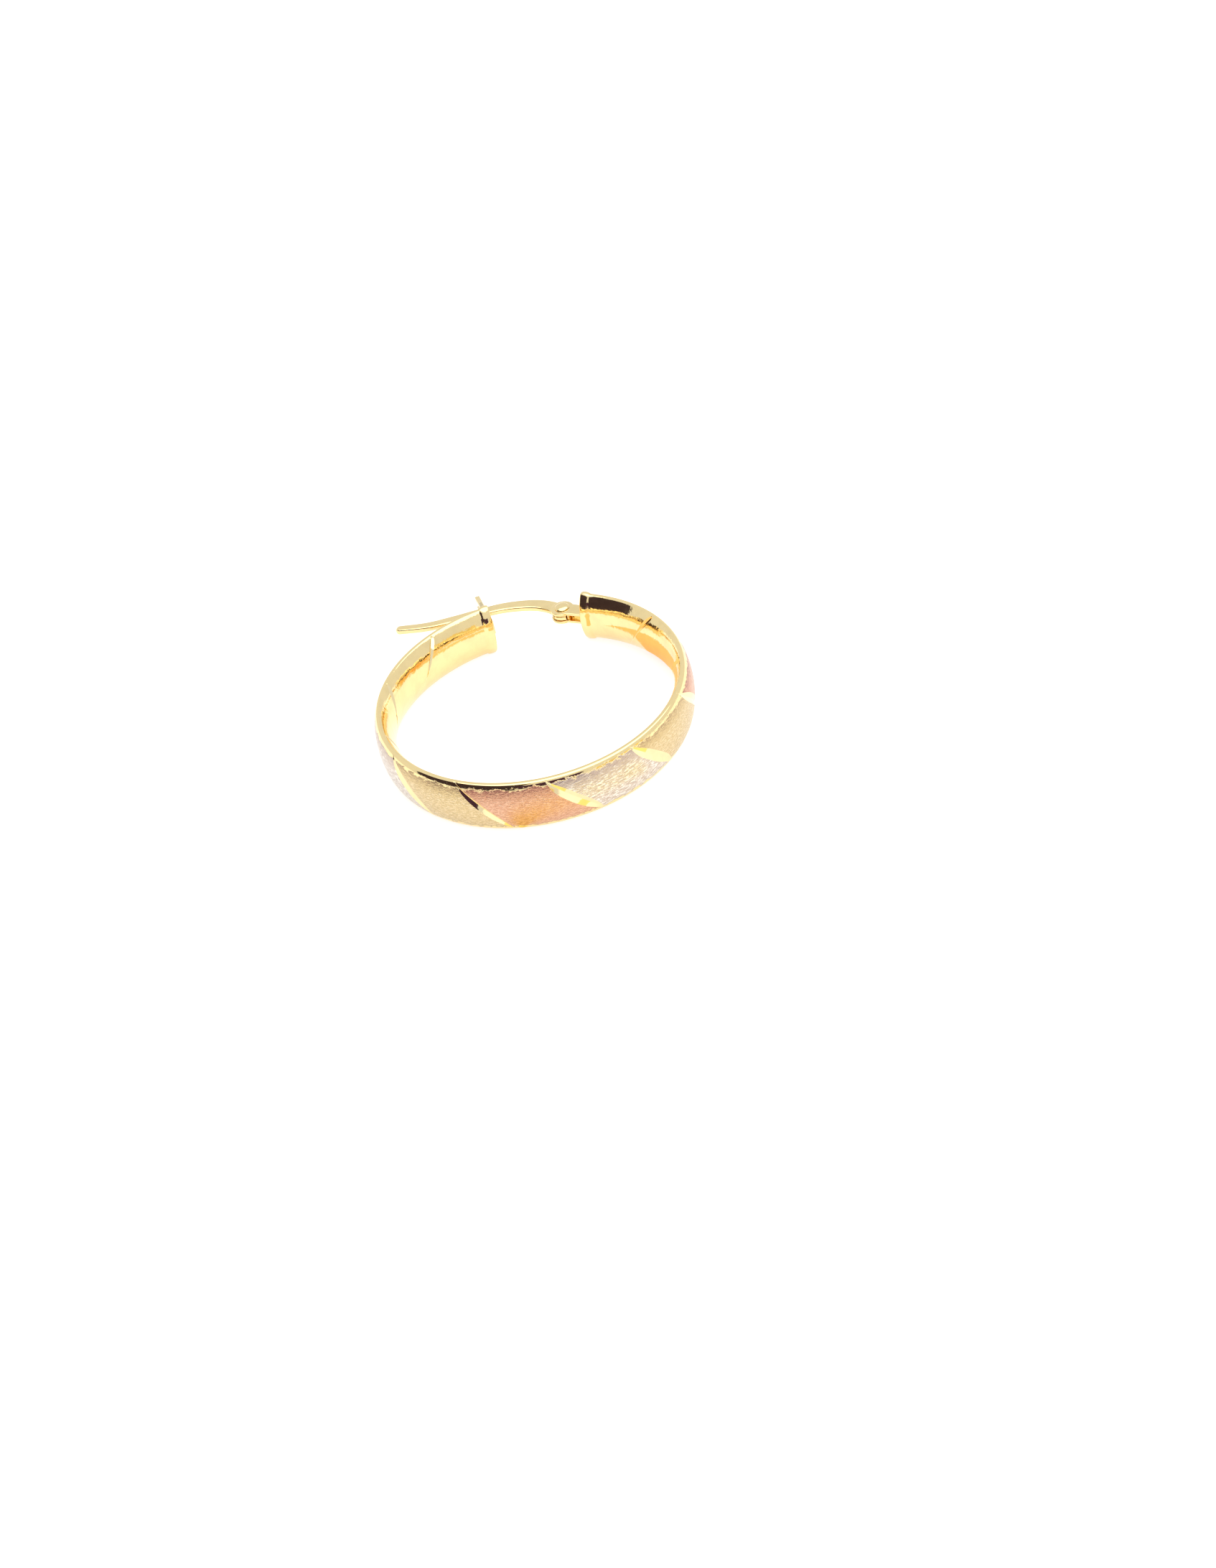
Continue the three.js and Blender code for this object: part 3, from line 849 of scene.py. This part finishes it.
def rivet():
    head = RIVET_HEAD_DIAMETER / 2
    under = LUG_INNER_HEIGHT + LUG_THICKNESS + RIVET_SEAT_GAP
    upper = [(RIVET_PIN_DIAMETER / 2, under)]
    upper += [(head * out, under + RIVET_HEAD_HEIGHT * up) for out, up in DOME]
    outline = [(r, -z) for r, z in reversed(upper)] + upper
    bm = bmesh.new()
    verts = [bm.verts.new((r, 0, z)) for r, z in outline]
    edges = [bm.edges.new(pair) for pair in zip(verts, verts[1:])]
    bmesh.ops.spin(bm, geom=verts + edges, cent=(0, 0, 0), axis=(0, 0, 1), dvec=(0, 0, 0),
                   angle=math.tau, steps=48, use_merge=True)
    bmesh.ops.remove_doubles(bm, verts=bm.verts, dist=1e-4)
    bmesh.ops.translate(bm, vec=pivot, verts=bm.verts)
    return bm


finish_piece(rivet(), "hinge_rivet_turned", "hoop", "hinge_rivet")

# %% [markdown]
# ## The line of the ear wire
#
# The wire arches from the pivot over the ear gap, dips through the fork, and runs on as a short tail.
# Its middle line passes through a few known points; the curve between two points starts and ends
# with the slopes that the neighbouring points give it.

# %% Wire line
WIRE_WIDTH_HINGE = 1.3
WIRE_WIDTH_CATCH = 0.9
WIRE_WIDTH_TIP = 0.7
WIRE_SEAT_RISE = 2.5
ARCH_HEIGHT = 1.0
TAIL_LENGTH = 6.6
TAIL_DROP = 2.4
FORK_THICKNESS = 0.42
FORK_PROUD = 0.22
ARCH_FORM = ((0.16, 0.65), (0.34, 0.96), (0.59, 0.89), (0.83, 0.5))
TAIL_FORM = ((0.37, 0.49), (0.65, 0.81), (1.0, 1.0))
seat = catch_centre + catch_outward * (FORK_PROUD - FORK_THICKNESS / 2) + catch_rise * WIRE_SEAT_RISE


def wire_points():
    chord = seat - pivot
    span = chord.length
    along = chord.normalized()
    rise = Vector((along.y, -along.x, 0))
    arch = [pivot + along * a * span + rise * r * ARCH_HEIGHT for a, r in ARCH_FORM]
    tail = [pivot + along * (span + a * TAIL_LENGTH) - rise * d * TAIL_DROP for a, d in TAIL_FORM]
    return [pivot, *arch, seat, *tail]


def slopes(points):
    """The direction of the curve at each point, from the two points beside it."""
    found = []
    for i, point in enumerate(points):
        before = points[max(i - 1, 0)]
        after = points[min(i + 1, len(points) - 1)]
        back, on = (point - before), (after - point)
        if not back.length or not on.length:
            found.append((back + on).normalized())
        else:
            found.append((back / back.length * on.length + on / on.length * back.length).normalized())
    return found


def curve_point(points, directions, share):
    """A point and direction of the curve, share running from 0 at the first point by one a point."""
    i = min(int(share), len(points) - 2)
    t = share - i
    length = (points[i + 1] - points[i]).length
    a, b = points[i], points[i + 1]
    da, db = directions[i] * length, directions[i + 1] * length
    place = (a * (2 * t**3 - 3 * t**2 + 1) + da * (t**3 - 2 * t**2 + t)
             + b * (3 * t**2 - 2 * t**3) + db * (t**3 - t**2))
    ahead = (a * (6 * t**2 - 6 * t) + da * (3 * t**2 - 4 * t + 1)
             + b * (6 * t - 6 * t**2) + db * (3 * t**2 - 2 * t))
    return place, ahead.normalized()


line = wire_points()
line_slopes = slopes(line)
SEAT_NUMBER = len(ARCH_FORM) + 1
print("wire passes", len(line), "points; the seat is number", SEAT_NUMBER)

# %% [markdown]
# ## The ear wire
#
# The wire is a flat strip, flattened to a round eye at the hinge and drawn to a round nose at the tip.
# It starts as a small rectangle with rounded corners, whose face is extruded from station to station:
# each new end is moved along the line, turned to it and scaled to the strip's width there.

# %% Stations of the wire
EYE_DIAMETER = 1.8
EYE_TURNS = (6, 16, 28, 40, 52, 64, 76, 88, 100, 112, 122, 130)
EYE_CLEAR = 0.8
NOSE_TURNS = (15, 30, 45, 58, 70, 80)
NOSE_THINNING = 0.7
WIRE_EDGE = 0.13
WIRE_STATIONS_A_POINT = 7


def strip_width(share):
    if share < SEAT_NUMBER:
        return WIRE_WIDTH_HINGE + (WIRE_WIDTH_CATCH - WIRE_WIDTH_HINGE) * share / SEAT_NUMBER
    beyond = (share - SEAT_NUMBER) / (len(line) - 1 - SEAT_NUMBER)
    return WIRE_WIDTH_CATCH + (WIRE_WIDTH_TIP - WIRE_WIDTH_CATCH) * beyond


def wire_stations():
    """Place, direction and width at each station, from the back of the eye to the nose."""
    radius = EYE_DIAMETER / 2
    start, ahead = curve_point(line, line_slopes, 0)
    stations = []
    for turn in EYE_TURNS:
        angle = math.radians(turn)
        stations.append((start - ahead * radius * math.cos(angle), ahead, 2 * radius * math.sin(angle)))
    last = (len(line) - 1) * WIRE_STATIONS_A_POINT
    for k in range(2, last + 1):
        share = k / WIRE_STATIONS_A_POINT
        place, direction = curve_point(line, line_slopes, share)
        if (place - start).length > radius * EYE_CLEAR:
            stations.append((place, direction, strip_width(share)))
    end, ahead = curve_point(line, line_slopes, len(line) - 1)
    for turn in NOSE_TURNS:
        angle = math.radians(turn)
        place = end + ahead * WIRE_WIDTH_TIP / 2 * math.sin(angle)
        stations.append((place, ahead, WIRE_WIDTH_TIP * math.cos(angle), math.cos(angle) ** NOSE_THINNING))
    return stations


stations = wire_stations()
print(len(stations), "stations along the wire")


# %% [markdown]
# ## Drawing the wire out
#
# A station says where the strip's end goes, which way it faces and how wide it is. Turned into a
# matrix, it moves the last face from the station before, and the sides follow by themselves.

# %% Extruding the wire
def station_matrix(place, direction, width, thinning=1.0):
    across = Vector((-direction.y, direction.x, 0))
    frame_axes = Matrix((across, Vector((0, 0, 1)), direction)).transposed().to_4x4()
    squeeze = Matrix.Diagonal((width, thinning, 1, 1))
    return Matrix.Translation(place) @ frame_axes @ squeeze


def strip_section(bm):
    """A unit-wide strip's end: a rectangle whose corners are rounded for a strip one millimetre wide."""
    square = bmesh.ops.create_grid(bm, x_segments=1, y_segments=1, size=0.5)["verts"]
    bmesh.ops.scale(bm, vec=(1, WIRE_THICKNESS, 1), verts=square)
    bmesh.ops.bevel(bm, geom=square, offset=WIRE_EDGE, segments=4, profile=0.5,
                    affect="VERTICES", material=-1)


def ear_wire_strip():
    bm = bmesh.new()
    strip_section(bm)
    face = next(iter(bm.faces))
    matrix = station_matrix(*stations[0])
    bmesh.ops.transform(bm, matrix=matrix, verts=bm.verts)
    for station in stations[1:]:
        raised = bmesh.ops.extrude_face_region(bm, geom=[face])["geom"]
        face = next(g for g in raised if isinstance(g, bmesh.types.BMFace))
        following = station_matrix(*station)
        bmesh.ops.transform(bm, matrix=following @ matrix.inverted(), verts=face.verts)
        matrix = following
    return bm


wire = ear_wire_strip()
print("wire has", len(wire.faces), "faces")

# %% [markdown]
# ## The bore of the eye
#
# The rivet's pin passes through the eye with a little play. The hole is drilled by taking a round bar
# away from the strip, which a Boolean modifier does cleanly; its result then becomes the mesh.

# %% Boring
EYE_PIN_PLAY = 0.05


def bored(bm, centre, radius):
    strip = bpy.data.meshes.new("strip")
    bm.to_mesh(strip)
    bar = bmesh.new()
    bmesh.ops.create_cone(bar, cap_ends=True, segments=48, radius1=radius, radius2=radius, depth=2.0)
    bmesh.ops.translate(bar, vec=centre, verts=bar.verts)
    drill = bpy.data.meshes.new("drill")
    bar.to_mesh(drill)
    bar.free()
    blank = bpy.data.objects.new("blank", strip)
    tool = bpy.data.objects.new("tool", drill)
    for thing in (blank, tool):
        bpy.context.scene.collection.objects.link(thing)
    cut = blank.modifiers.new("bore", "BOOLEAN")
    cut.operation = "DIFFERENCE"
    cut.object = tool
    seen = blank.evaluated_get(bpy.context.evaluated_depsgraph_get())
    bm.clear()
    bm.from_mesh(seen.to_mesh())
    seen.to_mesh_clear()
    for thing in (blank, tool):
        bpy.data.objects.remove(thing)
    return bm


bmesh.ops.recalc_face_normals(wire, faces=wire.faces)
wire = bored(wire, pivot, RIVET_PIN_DIAMETER / 2 + EYE_PIN_PLAY)
finish_piece(wire, "ear_wire_strip", "ear_wire", "ear_wire")

# %% [markdown]
# ## The fork of the catch
#
# The catch is a thin plate with a notch, soldered into the tube's end, so that its two prongs stand on
# either side of the wire. The plate is a block whose top is divided in three: the two outer thirds are
# drawn out into the prongs, and what stays between them is the notch. A bevel rounds all its edges.

# %% Fork
PRONG_WIDTH = 0.33
PRONG_LENGTH = 2.2
NOTCH_SIDE_PLAY = 0.08
NOTCH_SEAT_GAP = 0.06
FORK_EDGE = 0.07
NOTCH_FLOOR = WIRE_SEAT_RISE - WIRE_WIDTH_CATCH / 2 - NOTCH_SEAT_GAP


def fork_plate():
    notch = WIRE_THICKNESS / 2 + NOTCH_SIDE_PLAY
    side = notch + PRONG_WIDTH
    bm = bmesh.new()
    block = bmesh.ops.create_cube(bm, size=1.0)["verts"]
    bmesh.ops.scale(bm, vec=(NOTCH_FLOOR, 2 * side, FORK_THICKNESS), verts=block)
    bmesh.ops.translate(bm, vec=(NOTCH_FLOOR / 2, 0, FORK_PROUD - FORK_THICKNESS / 2), verts=block)
    for z in (-notch, notch):
        geom = bm.verts[:] + bm.edges[:] + bm.faces[:]
        bmesh.ops.bisect_plane(bm, geom=geom, plane_co=(0, z, 0), plane_no=(0, 1, 0))
    tops = [f for f in bm.faces if f.normal.x > 0.9 and abs(f.calc_center_median().y) > notch]
    for face in tops:
        raised = bmesh.ops.extrude_face_region(bm, geom=[face])["geom"]
        tip = [v for v in raised if isinstance(v, bmesh.types.BMVert)]
        bmesh.ops.translate(bm, vec=(PRONG_LENGTH, 0, 0), verts=tip)
    bmesh.ops.dissolve_limit(bm, angle_limit=0.01, verts=bm.verts[:], edges=bm.edges[:])
    bmesh.ops.bevel(bm, geom=bm.edges[:], offset=FORK_EDGE, segments=3, profile=0.5,
                    affect="EDGES", material=-1)
    axes = Matrix((catch_rise, Vector((0, 0, 1)), catch_outward)).transposed().to_4x4()
    bmesh.ops.transform(bm, matrix=Matrix.Translation(catch_centre) @ axes, verts=bm.verts)
    return bm


finish_piece(fork_plate(), "catch_fork", "hoop", "hoop")

# %% [markdown]
# ## The table
#
# The earring lies on a light table, a white sheet that glows from below, as jewellery is often shot: it
# leaves hardly any shadow. The things of the studio share two helpers, a matt paint and a short way from
# a mesh to an object.

# %% Table
TABLE_SIZE = 1200.0
TABLE_WHITE = (0.48, 0.48, 0.48, 1)
TABLE_PALER = (0.5, 0.5, 0.5, 1)
TABLE_GLOW = 0.68
TABLE_MOTTLE = 30.0


def matt_paint(name, roughness=1.0):
    recipe = Recipe(name)
    recipe.shader.inputs["Metallic"].default_value = 0.0
    recipe.shader.inputs["Roughness"].default_value = roughness
    return recipe


def studio_thing(bm, name, material):
    mesh = bpy.data.meshes.new(name)
    bm.to_mesh(mesh)
    bm.free()
    mesh.materials.append(material)
    thing = bpy.data.objects.new(name, mesh)
    bpy.context.scene.collection.objects.link(thing)
    return thing


def table():
    recipe = matt_paint("white_table", 0.9)
    recipe.shader.inputs["Specular IOR Level"].default_value = 0.1
    shade = recipe.blend(recipe.mottle(TABLE_MOTTLE), TABLE_WHITE, TABLE_PALER)
    recipe.feed(shade, recipe.shader.inputs["Base Color"])
    recipe.shader.inputs["Emission Color"].default_value = (1, 1, 1, 1)
    recipe.shader.inputs["Emission Strength"].default_value = TABLE_GLOW
    bm = bmesh.new()
    bmesh.ops.create_grid(bm, x_segments=2, y_segments=2, size=TABLE_SIZE / 2 * MM)
    top = studio_thing(bm, "table", recipe.material)
    top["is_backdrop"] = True
    return top


table_top = table()
print(table_top.name, "of", TABLE_SIZE, "mm")

# %% [markdown]
# ## The room and its lamp
#
# Polished gold shows only what it reflects, so the room matters more than the lamps: a bright surround,
# a little cool, and a large soft lamp overhead.

# %% Surround and lamp
SURROUND = 0.95
SURROUND_COLOUR = (0.93, 0.97, 1.03, 1)
LAMP_HEIGHT = 420.0
LAMP_SIZE = 760.0
LAMP_POWER = 2.0


def surround():
    world = bpy.data.worlds.new("surround")
    world.use_nodes = True
    background = world.node_tree.nodes["Background"]
    background.inputs["Color"].default_value = SURROUND_COLOUR
    background.inputs["Strength"].default_value = SURROUND
    bpy.context.scene.world = world


def direction_to(turn, elevation):
    """The direction from the hoop to a place in the room, turn being measured from the camera's side."""
    angle = math.radians(CAMERA_TURN - 90 + turn)
    up = math.radians(elevation)
    return Vector((math.cos(angle) * math.cos(up), math.sin(angle) * math.cos(up), math.sin(up)))


def room_place(turn, elevation, distance):
    """The place of a thing that stands in the room and faces the hoop."""
    away = direction_to(turn, elevation)
    facing = away.to_track_quat("Z", "Y").to_matrix().to_4x4()
    return Matrix.Translation(hoop_centre + away * distance * MM) @ facing


def lamp(name, turn, elevation, distance, size, power):
    light = bpy.data.lights.new(name, "AREA")
    light.shape = "DISK"
    light.size = size * MM
    light.energy = power
    lamp_object = bpy.data.objects.new(name, light)
    lamp_object.matrix_world = room_place(turn, elevation, distance)
    bpy.context.scene.collection.objects.link(lamp_object)


surround()
lamp("overhead_softbox", turn=60, elevation=78, distance=LAMP_HEIGHT, size=LAMP_SIZE, power=LAMP_POWER)
print("surround", SURROUND, "and a softbox of", LAMP_POWER, "W")

# %% [markdown]
# ## Cards
#
# Dark cards beside and below the camera draw the black lines under the rims that make the metal look
# polished. A low gold card on the right warms the inside of the wall by the catch. The camera doesn't
# see any of them.

# %% Cards
CARD_MOTTLE = 20.0
CARD_DARKER = 0.8


def card(name, turn, elevation, distance, size, colour):
    recipe = matt_paint(name)
    darker = tuple(c * CARD_DARKER for c in colour[:3]) + (1,)
    paint = recipe.blend(recipe.mottle(CARD_MOTTLE), colour, darker)
    recipe.feed(paint, recipe.shader.inputs["Base Color"])
    bm = bmesh.new()
    bmesh.ops.create_grid(bm, x_segments=1, y_segments=1, size=0.5)
    bmesh.ops.scale(bm, vec=(size[0], size[1], 1), verts=bm.verts)
    matrix = room_place(turn, elevation, distance) @ Matrix.Scale(MM, 4)
    bmesh.ops.transform(bm, matrix=matrix, verts=bm.verts)
    board = studio_thing(bm, name, recipe.material)
    board.visible_camera = False
    board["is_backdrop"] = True
    print(name, "of", size, "mm")


card("dark_card", turn=-57, elevation=24, distance=260, size=(370, 210), colour=(0.035, 0.018, 0.03, 1))
card("dark_strip", turn=0, elevation=13, distance=230, size=(176, 70), colour=(0.05, 0.014, 0.05, 1))
card("gold_card", turn=48, elevation=6, distance=230, size=(150, 28), colour=(0.95, 0.76, 0.32, 1))

# %% [markdown]
# ## Glowing strips for painted reflections
#
# Two strips lie on the table and glow as strongly as it does; they are painted reflections. A gold one in
# front of the hoop throws a soft golden band across the satin panels, and an orange one inside the hoop
# shows as a warm stripe in the wall by the catch. They are seen only in the metal: the camera, the shadows
# and the table take no notice of them. Each is a bow, given by its centre, its two radii, and its start and
# sweep in degrees.

# %% Warm strips
STRIP_HEIGHT = 0.05
STRIP_MOTTLE = 400.0
STRIP_STEPS = 40
STRIP_SHADES = (0.5, 0.45)
FRONT_STRIP = {"centre": (3.9, -7.1), "radii": (6.8, 9.4), "start": -136, "sweep": 117}
INNER_STRIP = {"centre": (-5.5, 9.3), "radii": (8.5, 16.0), "start": -68, "sweep": 63}


def reflection_glow_paint(name, colour):
    recipe = matt_paint(name)
    paint, thin = (tuple(c * shade for c in colour[:3]) + (1,) for shade in STRIP_SHADES)
    recipe.feed(recipe.blend(recipe.mottle(STRIP_MOTTLE), paint, thin), recipe.shader.inputs["Base Color"])
    # The strips glow like the table, so that the metal shows them as painted reflections.
    recipe.shader.inputs["Emission Color"].default_value = colour
    recipe.shader.inputs["Emission Strength"].default_value = TABLE_GLOW
    return recipe.material


def reflection_glow_strip(name, colour, bow):
    bm = bmesh.new()
    turn = Matrix.Rotation(math.radians(bow["start"]), 3, "Z")
    verts = [bm.verts.new(turn @ Vector((radius, 0, STRIP_HEIGHT))) for radius in bow["radii"]]
    edge = bm.edges.new(verts)
    bmesh.ops.spin(bm, geom=verts + [edge], cent=(0, 0, 0), axis=(0, 0, 1), dvec=(0, 0, 0),
                   angle=math.radians(bow["sweep"]), steps=STRIP_STEPS)
    floor = Vector((*bow["centre"], 0)) * MM + Vector((hoop_centre.x, hoop_centre.y, 0))
    bmesh.ops.transform(bm, matrix=Matrix.Translation(floor) @ Matrix.Scale(MM, 4), verts=bm.verts)
    strip = studio_thing(bm, name, reflection_glow_paint(name, colour))
    strip.visible_camera = False
    strip.visible_diffuse = False
    strip.visible_shadow = False
    strip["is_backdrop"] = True
    print(name, "sweeps", bow["sweep"], "degrees")


reflection_glow_strip("gold_reflection_glow", (1, 0.88, 0.37, 1), FRONT_STRIP)
reflection_glow_strip("orange_reflection_glow", (1, 0.64, 0.3, 1), INNER_STRIP)

# %% [markdown]
# ## Tones of the picture
#
# The Standard view keeps the table white and the gold clear. Light may bounce several times between
# the polished walls before it reaches the camera, which gives the orange inside the hoop.

# %% View of the picture
scene = bpy.context.scene
scene.view_settings.view_transform = "Standard"
scene.view_settings.look = "None"
scene.cycles.use_denoising = True
scene.cycles.max_bounces = 12
scene.cycles.glossy_bounces = 8
print("view:", scene.view_settings.view_transform)

# %% [markdown]
#
# Both boxes, that of the imported model and that of the finished pieces, are measured and printed in
# millimetres.

# %% Size and finish
visual_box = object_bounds()
sizes = {"cad": [list(corner) for corner in cad_box], "visual": [list(corner) for corner in visual_box]}
for name, box in sizes.items():
    print(name, [[round(x / MM, 3) for x in corner] for corner in box])
